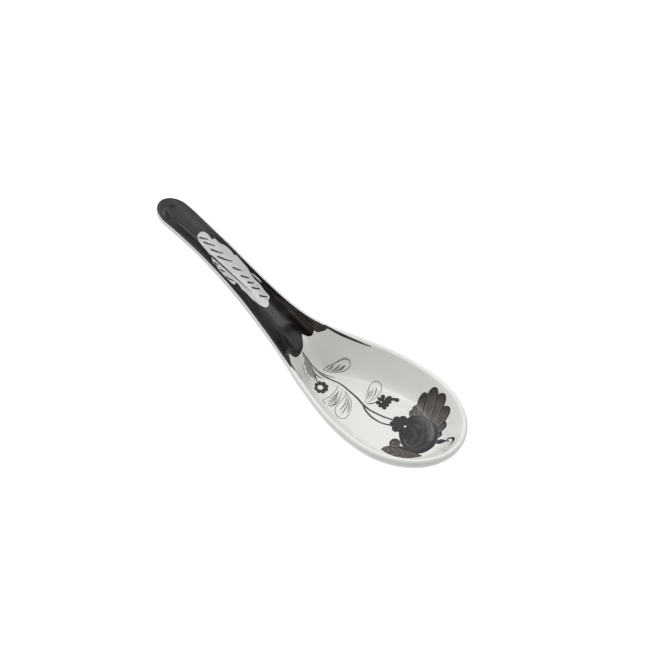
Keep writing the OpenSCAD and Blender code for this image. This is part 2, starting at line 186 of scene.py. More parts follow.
# ---------------------------------------------------------------- materials
class Material:
    """A node material: add() makes a node, and a socket's value may be another node's output."""

    def __init__(self, name):
        self.made = bpy.data.materials.new(name)
        self.made.use_nodes = True
        self.made.node_tree.nodes.clear()
        output = self.add("OutputMaterial")
        self.shader = self.add("BsdfPrincipled")
        self.link(self.shader.outputs[0], output.inputs["Surface"])

    def add(self, kind, inputs=None, **settings):
        node = self.made.node_tree.nodes.new("ShaderNode" + kind)
        for key, value in settings.items():
            setattr(node, key, value)
        for key, value in (inputs or {}).items():
            self.set(node.inputs[key], value)
        return node

    def set(self, socket, value):
        if isinstance(value, bpy.types.NodeSocket):
            self.link(value, socket)
        else:
            socket.default_value = value

    def link(self, a, b):
        self.made.node_tree.links.new(a, b)

    def surface(self, **inputs):
        for key, value in inputs.items():
            self.set(self.shader.inputs[key.replace("_", " ")], value)

    def attribute(self, name, output):
        return self.add("Attribute", attribute_name=name).outputs[output]

    def stretched(self, vector, scale):
        return self.add("Mapping", {"Vector": vector, "Scale": scale}).outputs[0]

    def noise(self, vector, scale, detail=2.0, roughness=0.5, distortion=0.0):
        return self.add("TexNoise", {"Vector": vector, "Scale": scale, "Detail": detail,
                                     "Roughness": roughness, "Distortion": distortion}).outputs[0]

    def ramp(self, factor, *stops):
        """Colours at positions: (position, (r, g, b)) each."""
        node = self.add("ValToRGB", {"Fac": factor})
        points = node.color_ramp.elements
        while len(points) < len(stops):
            points.new(0.5)
        for point, (position, colour) in zip(points, stops):
            point.position = position
            point.color = (*colour, 1)
        return node.outputs[0]

    def range(self, value, low, high, to_low=0.0, to_high=1.0):
        return self.add("MapRange", {"Value": value, "From Min": low, "From Max": high,
                                     "To Min": to_low, "To Max": to_high}).outputs[0]

    def maths(self, operation, a, b):
        node = self.add("Math", operation=operation)
        self.set(node.inputs[0], a)
        self.set(node.inputs[1], b)
        return node.outputs[0]

    def mix(self, factor, a, b):
        node = self.add("Mix", data_type="RGBA")
        self.set(node.inputs[0], factor)
        self.set(node.inputs[6], a)
        self.set(node.inputs[7], b)
        return node.outputs[2]

    def bump(self, height, distance):
        return self.add("Bump", {"Height": height, "Distance": distance, "Strength": 1.0}).outputs[0]


def porcelain():
    """Clear glaze over a faintly green-grey white clay, with the foot wiped bare and painted shade greying
    the handle's groove.
    """
    m = Material("glazed_porcelain")
    where = m.add("TexCoord").outputs["Object"]
    cloud = m.noise(where, 28, detail=3)
    pooled = m.noise(where, 95, detail=2)
    glazed = m.ramp(cloud, (0.3, (0.762, 0.768, 0.735)), (0.7, (0.795, 0.800, 0.770)))
    glazed = m.mix(m.range(pooled, 0.58, 0.72, 0, 0.10), glazed, (0.70, 0.715, 0.69, 1))
    speck = m.add("TexVoronoi", {"Vector": where, "Scale": 210.0}).outputs["Distance"]
    chosen = m.range(m.noise(where, 60, detail=0), 0.66, 0.68)
    dot = m.maths("MULTIPLY", m.range(speck, 0.04, 0.10, 0.16, 0), chosen)
    glazed = m.mix(dot, glazed, (0.30, 0.26, 0.21, 1))
    # painted shade: the glaze in the handle's groove, left bare round the feather, is mixed towards grey
    glazed = m.mix(m.maths("MULTIPLY", m.attribute("painted_groove_shade", "Fac"), 0.42), glazed, (0.34, 0.35, 0.34, 1))
    bare = m.attribute("bare", "Fac")
    grain = m.noise(where, 2600, detail=2)
    clay = m.ramp(grain, (0.35, (0.55, 0.53, 0.485)), (0.65, (0.635, 0.615, 0.565)))
    ripple = m.noise(where, 130, detail=1)
    bite = m.maths("MULTIPLY", grain, m.range(bare, 0, 1, 0.004, 0.5))
    height = m.maths("ADD", m.maths("MULTIPLY", ripple, 0.35), bite)
    m.surface(
        Base_Color=m.mix(bare, glazed, clay),
        Roughness=m.maths("ADD", m.range(cloud, 0.3, 0.7, 0.055, 0.095), m.range(bare, 0, 1, 0, 0.6)),
        Normal=m.bump(height, 0.00006))
    m.shader.inputs["IOR"].default_value = 1.52
    return m.made


def enamel(name, dark, light, warm, streak=(0.35, 3.2, 1.0)):
    """Fired overglaze colour, thin where the brush left it: streaks follow the stroke, and the painted
    tone, 0 to 1, lifts it from dark to light."""
    m = Material(name)
    flow = m.stretched(m.attribute("brush", "Vector"), streak)
    hairs = m.noise(flow, 1.0, detail=5, roughness=0.62, distortion=0.3)
    patches = m.noise(m.attribute("brush", "Vector"), 0.16, detail=2)
    grain = m.noise(m.add("TexCoord").outputs["Object"], 5200, detail=1)
    streaks = m.range(hairs, 0.35, 0.68)
    tone = m.attribute("tone", "Fac")
    warmth = m.maths("MULTIPLY", streaks, m.range(patches, 0.35, 0.65, 0.25, 1.0))
    base = m.mix(warmth, (*dark, 1), (*warm, 1))
    lifted = m.maths("MULTIPLY", tone, m.range(hairs, 0.25, 0.75, 0.7, 1.25))
    m.shader.inputs["IOR"].default_value = 1.46
    m.surface(
        Base_Color=m.mix(lifted, base, (*light, 1)),
        Roughness=m.range(hairs, 0.3, 0.7, 0.12, 0.22),
        Normal=m.bump(m.maths("ADD", hairs, m.maths("MULTIPLY", grain, 0.25)), 0.000006))
    return m.made


# ---------------------------------------------------------------- meshes
def build(name, vertices, faces, node, material, normals=None, attributes=None):
    """A piece that rides on the frame and stands for a CAD node."""
    mesh = bpy.data.meshes.new(name)
    mesh.from_pydata(vertices, [], faces)
    mesh.validate()
    mesh.polygons.foreach_set("use_smooth", [True] * len(mesh.polygons))
    for key, values in (attributes or {}).items():
        vector = np.ndim(values) == 2
        layer = mesh.attributes.new(key, "FLOAT_VECTOR" if vector else "FLOAT", "POINT")
        layer.data.foreach_set("vector" if vector else "value", np.asarray(values, np.float32).ravel())
    if normals is not None:
        mesh.normals_split_custom_set_from_vertices(normals)
    mesh.materials.append(material)
    piece = bpy.data.objects.new(name, mesh)
    bpy.context.scene.collection.objects.link(piece)
    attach(piece, "root")
    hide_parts(node)
    return piece


TIP_STEPS, SIDE_STEPS, NOSE_STEPS = 20, 180, 44
FLAT_STEPS, WALL_STEPS, LIP_STEPS, UNDER_STEPS, HEEL_STEPS = 7, 26, 18, 26, 6


def spokes():
    """Hub and vector to the lip's middle of every spoke, from the tip round the far side and back."""
    turn = np.linspace(0, math.pi / 2, TIP_STEPS, endpoint=False)
    tip = np.column_stack([0 * turn + TIP_HUB, -TIP_HUB * np.cos(turn), HANDLE_HALF * np.sin(turn)])
    x = np.linspace(TIP_HUB, BOWL_HUB, SIDE_STEPS + 1)
    side = np.column_stack([x, 0 * x, half_width(x)])
    turn = np.linspace(0, math.pi / 2, NOSE_STEPS + 1)[1:]
    nose = np.column_stack([0 * turn + BOWL_HUB, NOSE * np.sin(turn), BOWL_HALF * np.cos(turn)])
    half = np.vstack([tip, side, nose])
    whole = np.vstack([half, half[-2:0:-1] * [1, 1, -1]])
    return whole[:, 0], whole[:, 1:]


def bezier(a, b, c, d, t):
    return a * (1 - t)**3 + 3 * b * t * (1 - t)**2 + 3 * c * t**2 * (1 - t) + d * t**3


def body_rings(hub, way):
    """Rings of points over the inside from the middle, round the lip and back to the middle underneath."""
    reach = np.linalg.norm(way, axis=1)
    unit = way / reach[:, None]
    flat, top, a = flat_reach(hub, reach), rim(hub + way[:, 0]), tilt(hub, way, hub + way[:, 0])
    wall = reach - LIP * np.sin(a)
    inner = [flat * k / FLAT_STEPS for k in range(1, FLAT_STEPS + 1)]
    inner += [flat + (wall - flat) * k / WALL_STEPS for k in range(1, WALL_STEPS + 1)]
    profile = [(e, skin(hub, way, e)) for e in inner]
    for k in range(1, LIP_STEPS + 1):
        turn = (math.pi / 2 + a) * (1 - k / LIP_STEPS)
        profile.append((reach + LIP * np.cos(turn), top + LIP * np.sin(turn)))
    edge, foot = reach + LIP, FOOT_SHARE * reach
    low = below(hub + unit[:, 0] * foot)
    side = 1 + 0.06 * (top - low) + BELLY * (half_width(hub) / BOWL_HALF)**6 * (top - low)**2
    for k in range(1, UNDER_STEPS + 1):
        t = k / UNDER_STEPS
        out = bezier(edge, edge, foot + 0.2 * reach, foot, t)
        profile.append((out, bezier(top, top - side, low, low, t)))
    for k in range(HEEL_STEPS - 1, 0, -1):
        e = foot * k / HEEL_STEPS
        profile.append((e, below(hub + unit[:, 0] * e)))
    return np.stack([np.column_stack([hub + unit[:, 0] * e, unit[:, 1] * e, z]) for e, z in profile])


def make_body():
    hub, way = spokes()
    rings = body_rings(hub, way)
    count, m = rings.shape[:2]
    x = np.linspace(TIP_HUB, BOWL_HUB, SIDE_STEPS + 1)
    vertices = np.vstack([rings.reshape(-1, 3), np.column_stack([x, 0 * x, inside(x)]),
                          np.column_stack([x, 0 * x, below(x)])])
    over, under, last = count * m, count * m + SIDE_STEPS + 1, (count - 1) * m
    faces = []
    for j in range(m):
        n = (j + 1) % m
        a, b = (max(0, min(SIDE_STEPS, min(i, m - i) - TIP_STEPS)) for i in (j, n))
        faces += [(k * m + n, k * m + m + n, k * m + m + j, k * m + j) for k in range(count - 1)]
        faces.append((over + a, n, j) if a == b else (over + a, over + b, n, j))
        heel = (last + j, last + n)
        faces.append((under + a, *heel) if a == b else (under + b, under + a, *heel))
    bare = (vertices[:, 2] < 0.04 - RIM_HEIGHT).astype(float)
    groove = np.arange(len(vertices)) < (FLAT_STEPS + WALL_STEPS) * m
    groove[over:under] = True
    # painted shade: full on the inside of the handle up to station 48, fading out by station 56
    painted_groove_shade = groove * np.clip((56 - vertices[:, 0]) / 8, 0, 1)
    return build("glazed_body", place(vertices), faces, "porcelain_body", porcelain(),
                 attributes={"bare": bare, "painted_groove_shade": painted_groove_shade})


# A film is laid from islands: (plan points, faces, brush, tone, layer). brush is [along, across, seed] in
# stations, and tone runs from 0, dark, to 1, light.
FILM, LAYER_RISE, SUNK = 0.05, 0.02, 0.03


def lay_film(name, node, material, islands):
    """One closed shell for each island: its top stands above the glaze, its underside is just below."""
    vertices, normals, faces, brush, tone = [], [], [], [], []
    start = 0
    for plan, cells, flow, lift, layer in islands:
        at, normal = glaze_and_normal(plan)
        sides = {}
        for cell in cells:
            for a, b in zip(cell, (*cell[1:], cell[0])):
                sides[(a, b)] = True
        border = [(a, b) for a, b in sides if (b, a) not in sides]
        height = np.full(len(plan), FILM + LAYER_RISE * layer)
        height[[a for a, b in border]] *= 0.7
        vertices += [at + normal * height[:, None], at - normal * SUNK]
        normals += [normal, -normal]
        brush += [flow, flow]
        tone += [lift, lift]
        under = start + len(plan)
        faces += [tuple(start + i for i in cell) for cell in cells]
        faces += [tuple(under + i for i in reversed(cell)) for cell in cells]
        faces += [(start + b, start + a, under + a, under + b) for a, b in border]
        start = under + len(plan)
    return build(name, place(np.vstack(vertices)), faces, node, material, np.vstack(normals).tolist(),
                 {"brush": np.vstack(brush), "tone": np.concatenate(tone)})


def curve(points, closed=False, step=0.3):
    """Smooth line through points, with a point about every step."""
    p = np.array(points, float)
    ends = (p[-1:], p[:2]) if closed else (2 * p[:1] - p[1:2], 2 * p[-1:] - p[-2:-1])
    q = np.vstack([ends[0], p, ends[1]])
    line = []
    for i in range(1, len(q) - 2):
        a, b, c, d = q[i - 1:i + 3]
        t = np.arange(0, 1, 1 / max(2, round(np.linalg.norm(c - b) / step)))[:, None]
        line.append(b + 0.5 * t * (c - a + t * (2 * a - 5 * b + 4 * c - d + t * (3 * b - a - 3 * c + d))))
    return np.vstack(line if closed else [*line, p[-1:]])


def stroke(points, width, layer=0, tone=0.0, columns=4, seed=0.0):
    """A brush stroke along a smooth line: width is a function of the share of its length."""
    path = curve(points)
    run = np.concatenate([[0], np.cumsum(np.linalg.norm(np.diff(path, axis=0), axis=1))])
    rows = max(10, int(run[-1] / 0.35))
    share = (1 - np.cos(np.linspace(0, math.pi, rows))) / 2
    line = np.column_stack([np.interp(share * run[-1], run, path[:, k]) for k in (0, 1)])
    step = np.gradient(line, axis=0)
    side = np.column_stack([-step[:, 1], step[:, 0]]) / np.linalg.norm(step, axis=1)[:, None]
    half = np.maximum(0.02, np.array([width(t) for t in share]) / 2)
    across = np.linspace(-1, 1, columns + 1)
    grid = line[:, None] + side[:, None] * half[:, None, None] * across[None, :, None]
    along_it = (share * run[-1])[:, None]
    flow = np.stack(np.broadcast_arrays(along_it, half[:, None] * across, seed + 0 * across), axis=2)
    if np.isscalar(tone):
        lift = np.broadcast_to(tone, (rows, columns + 1))
    else:
        lift = tone(share[:, None], across[None, :])
    m = columns + 1
    cells = [(i * m + k, i * m + m + k, i * m + m + k + 1, i * m + k + 1)
             for i in range(rows - 1) for k in range(columns)]
    return grid.reshape(-1, 2), cells, flow.reshape(-1, 3), np.array(lift, float).ravel(), layer


def within(points, loops):
    """Which points lie inside the loops, holes left out."""
    hit = np.zeros(len(points), bool)
    for loop in loops:
        for (ax, ay), (bx, by) in zip(loop, np.roll(loop, -1, axis=0)):
            if ay != by:
                crosses = (points[:, 1] < ay) != (points[:, 1] < by)
                hit ^= crosses & (points[:, 0] < ax + (points[:, 1] - ay) * (bx - ax) / (by - ay))
    return hit


def patch(loops, spacing=0.4, layer=0, flow=None, tone=None):
    """A filled shape: its first loop is the outline and the others are holes."""
    rims = np.vstack(loops)
    low, high = rims.min(0), rims.max(0)
    rows = np.arange(low[1], high[1], spacing * math.sqrt(3) / 2)
    inner = []
    for r, y in enumerate(rows):
        x = np.arange(low[0] + (r % 2) * spacing / 2, high[0], spacing)
        inner.append(np.column_stack([x, 0 * x + y]))
    inner = np.vstack(inner)
    inner = inner[within(inner, loops)]
    nearest = np.full(len(inner), np.inf)
    for point in rims:
        nearest = np.minimum(nearest, np.hypot(*(inner - point).T))
    inner = inner[nearest > 0.55 * spacing]
    edges, start = [], 0
    for loop in loops:
        edges += [(start + i, start + (i + 1) % len(loop)) for i in range(len(loop))]
        start += len(loop)
    points = np.vstack([rims, inner])
    made = delaunay_2d_cdt([Vector(p) for p in points], edges, [], 0, 1e-6)
    plan = np.array([list(v) for v in made[0]])
    triangles = np.array([f for f in made[2]])
    keep = within(plan[triangles].mean(axis=1), loops)
    triangles = triangles[keep]
    used = np.unique(triangles)
    index = np.full(len(plan), -1)
    index[used] = np.arange(len(used))
    plan, triangles = plan[used], index[triangles]
    a, b, c = (plan[triangles[:, k]] for k in range(3))
    turned = (b[:, 0] - a[:, 0]) * (c[:, 1] - a[:, 1]) < (b[:, 1] - a[:, 1]) * (c[:, 0] - a[:, 0])
    triangles[turned] = triangles[turned][:, ::-1]
    brush = np.column_stack([plan, 0 * plan[:, 0]]) if flow is None else flow(plan)
    lift = 0 * plan[:, 0] if tone is None else tone(plan)
    return plan, [tuple(int(i) for i in t) for t in triangles], brush, lift, layer


# Widths along a stroke
def taper(w, ends=0.15):
    return lambda t: w * (ends + (1 - ends) * math.sin(math.pi * t)**0.7)


def dying(w, left=0.15):
    """Full at its start, thin at its end."""
    return lambda t: w * (left + (1 - left) * (1 - t)**0.8) * min(1, (t / 0.03 + 0.2))


def round_ended(w, start, full, turn, power):
    """Starts at a share of its width, is full from full on, and rounds off from turn to its end."""
    def width(t):
        grown = start + (1 - start) * math.sin(math.pi / 2 * min(1, t / full))
        return w * grown * math.sqrt(max(0.0, 1 - max(0, (t - turn) / (1 - turn))**power))
    return width


def even(w):
    return lambda t: w * min(1, 0.25 + 8 * t, 0.25 + 8 * (1 - t))


def ring(centre, radius, count=48):
    """Closed loop round a centre, where radius is a number or a function of the angle."""
    a = np.linspace(0, 2 * math.pi, count, endpoint=False)
    r = radius(a) if callable(radius) else radius + 0 * a
    return np.array(centre) + np.column_stack([np.cos(a), np.sin(a)]) * r[:, None]


def lobed(r, lobes, depth, turn):
    """Radius of a blossom's edge with round lobes."""
    return lambda a: r * (1 - depth + depth * np.abs(np.cos(lobes * (a - turn) / 2))**0.7)


def distance(plan, line):
    """Distance from each plan point to the nearest point of a line."""
    gap = plan[:, None] - line[None, :]
    return np.min(np.hypot(gap[..., 0], gap[..., 1]), axis=1)


def soft_stroke(plan, points, width):
    """Tone of a soft mark along a line, 1 in its middle."""
    return np.exp(-(distance(plan, curve(points, step=0.2)) / width)**2)


# ---------------------------------------------------------------- the enamel's colours
INK = enamel("black_enamel", (0.0045, 0.0042, 0.0044), (0.085, 0.068, 0.058), (0.018, 0.0125, 0.0102))
LINE = enamel("line_enamel", (0.009, 0.0078, 0.0075), (0.10, 0.09, 0.085), (0.028, 0.023, 0.020))
STEM = enamel("stem_enamel", (0.040, 0.031, 0.028), (0.20, 0.18, 0.17), (0.080, 0.063, 0.056))
GREY = enamel("grey_enamel", (0.135, 0.118, 0.112), (0.36, 0.34, 0.33), (0.23, 0.20, 0.19))
PETAL = enamel("brown_grey_enamel", (0.013, 0.0110, 0.0105), (0.30, 0.265, 0.245), (0.040, 0.032, 0.029),
               streak=(0.5, 5.0, 1.0))
BLOOM = enamel("blue_black_enamel", (0.0075, 0.0078, 0.0095), (0.17, 0.175, 0.19), (0.018, 0.018, 0.021),
               streak=(0.35, 2.6, 1.0))


# ---------------------------------------------------------------- the handle's ground and feather
GROUND_START = -0.8              # the ground runs out over the lip at the tip
GROUND_FAR = [[0, 0.5], [8, 0.5], [16, 0.15], [40, -0.05], [52, -0.15], [66, -0.3], [73, -0.4]]
GROUND_NEAR = [[0, 0.5], [12, 0.5], [22, 0.55], [40, 0.3], [52, 0.3], [66, 0.4], [73, 0.2]]
                                 # how far past the lip's middle it runs along the two sides
FEATHER = [[17.3, 0.4], [17.8, -1.0], [20.1, -2.2], [22.7, -2.6], [25.0, -2.9], [26.4, -3.4], [27.3, -4.0],
           [28.3, -4.6], [29.3, -4.4], [30.0, -4.4], [30.9, -4.9], [33.9, -4.95], [36.2, -4.9],
           [37.6, -4.7], [38.1, -4.0], [37.7, -3.2], [38.6, -2.8], [40.8, -3.2], [42.4, -2.9], [44.0, -2.9], [45.3, -2.8],
           [46.6, -2.4], [48.4, -1.9], [49.8, -1.0], [50.2, 0.0], [49.8, 1.2], [48.9, 1.9], [48.8, 2.6],
           [48.2, 3.4], [45.8, 3.5], [43.2, 3.8], [41.2, 3.6], [38.8, 4.0], [36.9, 4.5], [34.2, 4.6],
           [31.7, 4.7], [31.0, 4.2], [29.2, 4.4], [26.6, 4.1], [24.8, 3.4], [22.5, 3.3], [22.0, 2.4],
           [19.9, 2.7], [18.5, 2.5], [17.5, 1.7]]
SLIVER = [[38.9, 4.25], [40.6, 4.25], [42.4, 4.4], [43.3, 4.55], [43.5, 4.75], [42.2, 4.85], [40.2, 4.7]]
BARBS = [([18.3, -0.7], [21.0, 1.3]), ([20.5, -0.9], [24.2, 1.4]), ([23.9, -1.1], [28.0, 1.6]),
         ([27.2, -1.2], [31.9, 1.9]), ([33.2, 0.3], [36.0, 2.1]), ([36.9, 0.4], [39.5, 2.4]),
         ([40.0, 0.7], [41.8, 2.5]), ([42.1, 0.4], [44.4, 2.6]), ([45.7, 0.5], [47.9, 2.6])]
LOBE_BARBS = [([28.0, -4.2], [29.8, -3.5]), ([30.9, -4.6], [33.0, -3.4]), ([34.2, -4.8], [36.9, -3.3])]
FAR_LINE = [[68.4, 0.5], [70.5, 0.6], [73.0, 0.85], [77.0, 1.05], [81.0, 1.15], [86.4, 1.2]]
NEAR_LINE = [[68.4, 0.5], [70.8, 0.5], [72.7, 0.9], [74.8, 2.0], [77.5, 3.7], [80.6, 4.4], [83.0, 4.7]]
                                 # the thin lines that run on: station, and distance inside the lip's middle
GROUND_END = [[70.2, 10.9], [69.4, 9.9], [68.3, 8.9], [67.3, 7.9], [66.2, 7.4], [66.3, 6.2], [65.6, 5.0],
              [64.6, 4.1], [63.7, 3.3], [64.8, 2.4], [65.9, 1.2], [66.6, -0.4], [66.9, -2.2], [66.9, -4.2],
              [66.5, -5.7], [65.7, -6.8], [66.6, -7.7], [68.0, -8.9], [69.2, -10.0], [70.4, -11.1]]


def ground_outline():
    a = np.linspace(-math.pi / 2, math.pi / 2, 44)
    tip = np.column_stack([TIP_HUB - (TIP_HUB - GROUND_START) * np.cos(a),
                           (HANDLE_HALF + GROUND_FAR[0][1]) * np.sin(a)])
    x = np.linspace(TIP_HUB, 71.0, 170)
    far = np.column_stack([x, half_width(x) + along(GROUND_FAR, x)])
    near = np.column_stack([x, -half_width(x) - along(GROUND_NEAR, x)])
    return np.vstack([tip, far[1:], curve(GROUND_END), near[:0:-1]])


def ground_flow(plan):
    """Streaks run down the handle and fan out with it."""
    spread = plan[:, 1] / (half_width(plan[:, 0]) / HANDLE_HALF)
    return np.column_stack([plan[:, 0], spread, 0 * spread])


GROUND_MARKS = [  # soft lighter strokes in the ground: points, width, tone
    ([[50.0, 5.0], [54.5, 5.9], [58.4, 5.6]], 0.45, 0.42),
    ([[56.0, 5.6], [61.5, 6.0], [65.2, 6.6]], 0.55, 0.62),
    ([[60.0, 7.0], [64.2, 7.6], [68.0, 8.7]], 0.45, 0.55),
    ([[63.0, 8.6], [66.5, 9.3], [69.6, 10.3]], 0.35, 0.50),
    ([[45.0, 4.6], [51.0, 5.6], [58.0, 7.4]], 0.25, 0.34),
    ([[52.0, -4.6], [58.0, -5.6], [64.0, -7.0]], 0.24, 0.30),
    ([[56.0, -6.8], [62.0, -8.2], [68.0, -10.2]], 0.22, 0.36),
    ([[60.5, -4.6], [63.0, -5.2], [65.2, -4.4]], 0.45, 0.42),
    ([[2.8, 3.4], [9.5, 3.1], [14.1, 2.8], [18.0, 2.9]], 0.5, 0.34),
    ([[4.0, 2.2], [10.0, 2.1], [15.0, 2.2]], 0.22, 0.26),
    ([[12.0, 4.3], [20.0, 4.6], [30.0, 5.0]], 0.22, 0.26),
    ([[1.6, -2.8], [8.0, -3.9], [17.0, -4.4]], 0.5, 0.26),
    ([[17.5, -3.7], [20.5, -4.3], [25.0, -4.7]], 0.3, 0.40),
    ([[39.0, -4.4], [43.0, -4.3], [47.0, -4.9]], 0.45, 0.34),
]


def ground_tone(plan):
    lift = 0 * plan[:, 0]
    for points, width, tone in GROUND_MARKS:
        lift = np.maximum(lift, tone * soft_stroke(plan, points, width))
    return lift


def make_handle_enamel():
    holes = [curve(FEATHER, closed=True), curve(SLIVER, closed=True, step=0.2)]
    lay_film("handle_ground_enamel", "handle_ground", INK,
             [patch([ground_outline(), *holes], 0.38, flow=ground_flow, tone=ground_tone)])
    for side, node, line in ((1, "far_rim_line", FAR_LINE), (-1, "near_rim_line", NEAR_LINE)):
        x, inset = np.array(line).T
        lay_film(node + "_enamel", node, INK,
                 [stroke(np.column_stack([x, side * (half_width(x) - inset)]),
                         lambda t: 0.62 * (1 - t)**0.9 + 0.1, layer=1)])

    def dab(t):
        return 0.82 * min(1, 0.35 + 5 * t) * (1 - 0.6 * t)

    def slant(a, b):
        return [a, [(a[0] + b[0]) / 2, (a[1] + b[1]) / 2 - 0.15], b]

    barbs = [stroke(slant(a, b), dab, seed=a[0]) for a, b in BARBS]
    barbs += [stroke(slant(a, b), taper(0.62), seed=a[0]) for a, b in LOBE_BARBS]
    lay_film("feather_barbs_enamel", "feather_barbs", LINE, barbs)
    lay_film("feather_quill_enamel", "feather_quill", LINE,
             [stroke([[25.4, -3.05], [27.6, -2.65], [31, -2.35], [36, -1.75], [41.6, -1.15], [43.4, -0.8]],
                     dying(0.75, 0.2), layer=1)])


# ---------------------------------------------------------------- stems and line-drawn leaves
def line_leaf(outline, veins, width=0.27, bold=0.46):
    """A leaf drawn as one fine line round it, and bolder hatch strokes inside it."""
    islands = [stroke(outline, lambda t: width * (0.8 + 0.4 * math.sin(math.pi * t)),
                      tone=lambda t, c: 0.55 - 0.25 * np.cos(2 * math.pi * t) + 0 * c)]
    for i, vein in enumerate(veins):
        islands.append(stroke(vein, lambda t: bold * (0.3 + 0.7 * math.sin(math.pi * t**1.4)), layer=1,
                              seed=3.0 * i + 1, tone=lambda t, c: 0.75 - 0.8 * t + 0.15 * np.abs(c)))
    return islands


def make_stems():
    main = [[66.9, -0.5], [68.8, 0.2], [70.8, 0.7], [74.1, 1.7], [79.5, 3.2], [82.6, 3.4], [85.8, 2.9],
            [90.6, 2.0], [94.9, 0.7]]
    upper = [[94.9, 0.7], [98, 0.3], [101.5, 0.5], [105, 1.1], [109.6, 2.5]]
    lower = [[95.0, 0.5], [96.8, -0.7], [99.4, -1.6], [102, -2.0], [104.8, -1.9], [107.4, -1.1],
             [109.8, 0.2]]
    lay_film("main_stem_enamel", "main_stem", STEM, [
        stroke(main, lambda t: 0.38 + 0.42 * t, layer=1, tone=lambda t, c: 0.35 * (1 - t) + 0.15 * c),
        stroke(upper, lambda t: 0.72 - 0.1 * t, layer=1),
        stroke(lower, lambda t: 0.66 - 0.06 * math.cos(9 * t), layer=2)])

    leaf = np.array([[66.9, -0.5], [68.0, 0.1], [69.4, 0.4], [71.2, 0.2], [72.5, 0.0], [73.2, -1.2],
                     [73.0, -2.2], [72.4, -1.7], [72.7, -3.0], [71.8, -2.5], [71.2, -3.1], [70.8, -2.3],
                     [70.1, -2.8], [69.8, -1.8], [68.9, -2.2], [68.6, -1.1], [67.6, -1.0]])
    hatch = [([68.4, -0.6], [70.0, -2.3]), ([69.2, -0.2], [71.1, -2.6]), ([70.2, 0.0], [72.4, -2.6]),
             ([71.2, 0.0], [72.9, -2.0]), ([67.2, -0.6], [68.8, -1.8])]

    def hatched(p):
        return 1.15 - 0.55 * np.max([soft_stroke(p, pair, 0.22) for pair in hatch], axis=0)

    slanted = [[0.6, 0.8, 0], [-0.8, 0.6, 0]]
    loose = [([[68.7, -2.9], [70.4, -3.7], [71.7, -4.0], [73.1, -3.4]], 0.28, 0.9),
             ([[70.4, 0.1], [72.0, -0.2], [73.5, 0.1], [75.4, 0.9]], 0.5, 0.1),
             ([[71.0, 0.9], [72.6, 1.5], [74.8, 2.7], [76.6, 3.6], [78.4, 4.3]], 0.42, 0.3),
             ([[71.6, 0.7], [73.6, 1.6], [75.4, 2.5], [77.2, 3.0]], 0.3, 0.5),
             ([[71.8, -0.6], [72.9, -0.9], [73.8, -2.0]], 0.36, 0.3)]
    foliage = [patch([leaf], 0.22, flow=lambda p: p @ slanted, tone=hatched)]
    for line, width, tone in loose:
        foliage.append(stroke(line, taper(width, 0.3), tone=tone, layer=2, seed=width))
    lay_film("stem_foliage_enamel", "stem_foliage", GREY, foliage)


def make_leaves():
    upper = line_leaf(
        [[73.4, 3.7], [74.1, 5.8], [75.9, 8.0], [78.0, 9.8], [79.6, 10.6], [80.8, 10.7], [81.1, 10.0],
         [79.8, 8.3], [77.8, 6.7], [75.4, 4.9], [73.6, 3.7]],
        [[[74.2, 4.6], [75.0, 5.9], [75.7, 7.3]], [[75.2, 5.2], [76.8, 7.1], [77.8, 8.7]],
         [[76.2, 5.9], [78.0, 7.6], [79.2, 9.3]], [[77.4, 6.9], [78.7, 8.2], [79.5, 9.4]]])
    lay_film("upper_leaf_enamel", "upper_leaf", GREY, upper)
    fork = line_leaf(
        [[94.6, 2.0], [94.0, 3.4], [92.5, 6.2], [91.3, 9.0], [91.4, 11.0], [92.8, 12.0], [94.4, 12.0],
         [95.5, 11.0], [96.2, 9.0], [96.5, 6.6], [96.0, 4.4], [95.2, 2.4]],
        [[[94.5, 3.8], [94.2, 6.4], [93.2, 8.7]], [[95.4, 4.2], [95.2, 7.4], [93.8, 10.2]],
         [[94.2, 3.9], [93.4, 5.8], [92.6, 7.6]]])
    lay_film("fork_leaf_enamel", "fork_leaf", GREY, fork)
    short = line_leaf(
        [[81.5, 2.5], [82.2, 0.8], [82.6, -1.2], [82.5, -3.4], [81.8, -5.5], [81.5, -6.5], [82.3, -7.1],
         [83.6, -7.4]],
        [[[83.3, 0.9], [83.8, -1.8], [83.2, -4.6]], [[83.9, 0.0], [84.4, -3.2], [83.5, -6.0]],
         [[84.2, -0.8], [84.9, -4.2], [84.2, -7.0]], [[84.7, -1.8], [86.0, -5.4], [84.6, -7.5]],
         [[84.3, 1.7], [85.6, -1.6], [86.4, -4.6], [86.0, -7.3]]])
    lay_film("short_hanging_leaf_enamel", "short_hanging_leaf", GREY, short)
    long = line_leaf(
        [[85.4, 2.3], [86.8, 0.0], [87.1, -3.2], [87.3, -6.2], [88.4, -8.0], [90.3, -9.2], [92.2, -9.3],
         [93.4, -8.2], [93.2, -5.8], [91.8, -2.8], [89.9, -0.4], [87.4, 0.9], [85.8, 1.7]],
        [[[86.9, 0.6], [89.0, -2.6], [89.6, -6.6]], [[87.8, 0.3], [90.2, -3.0], [91.2, -7.7]],
         [[88.4, -0.1], [91.2, -3.2], [92.4, -6.0]]])
    lay_film("long_hanging_leaf_enamel", "long_hanging_leaf", GREY, long)


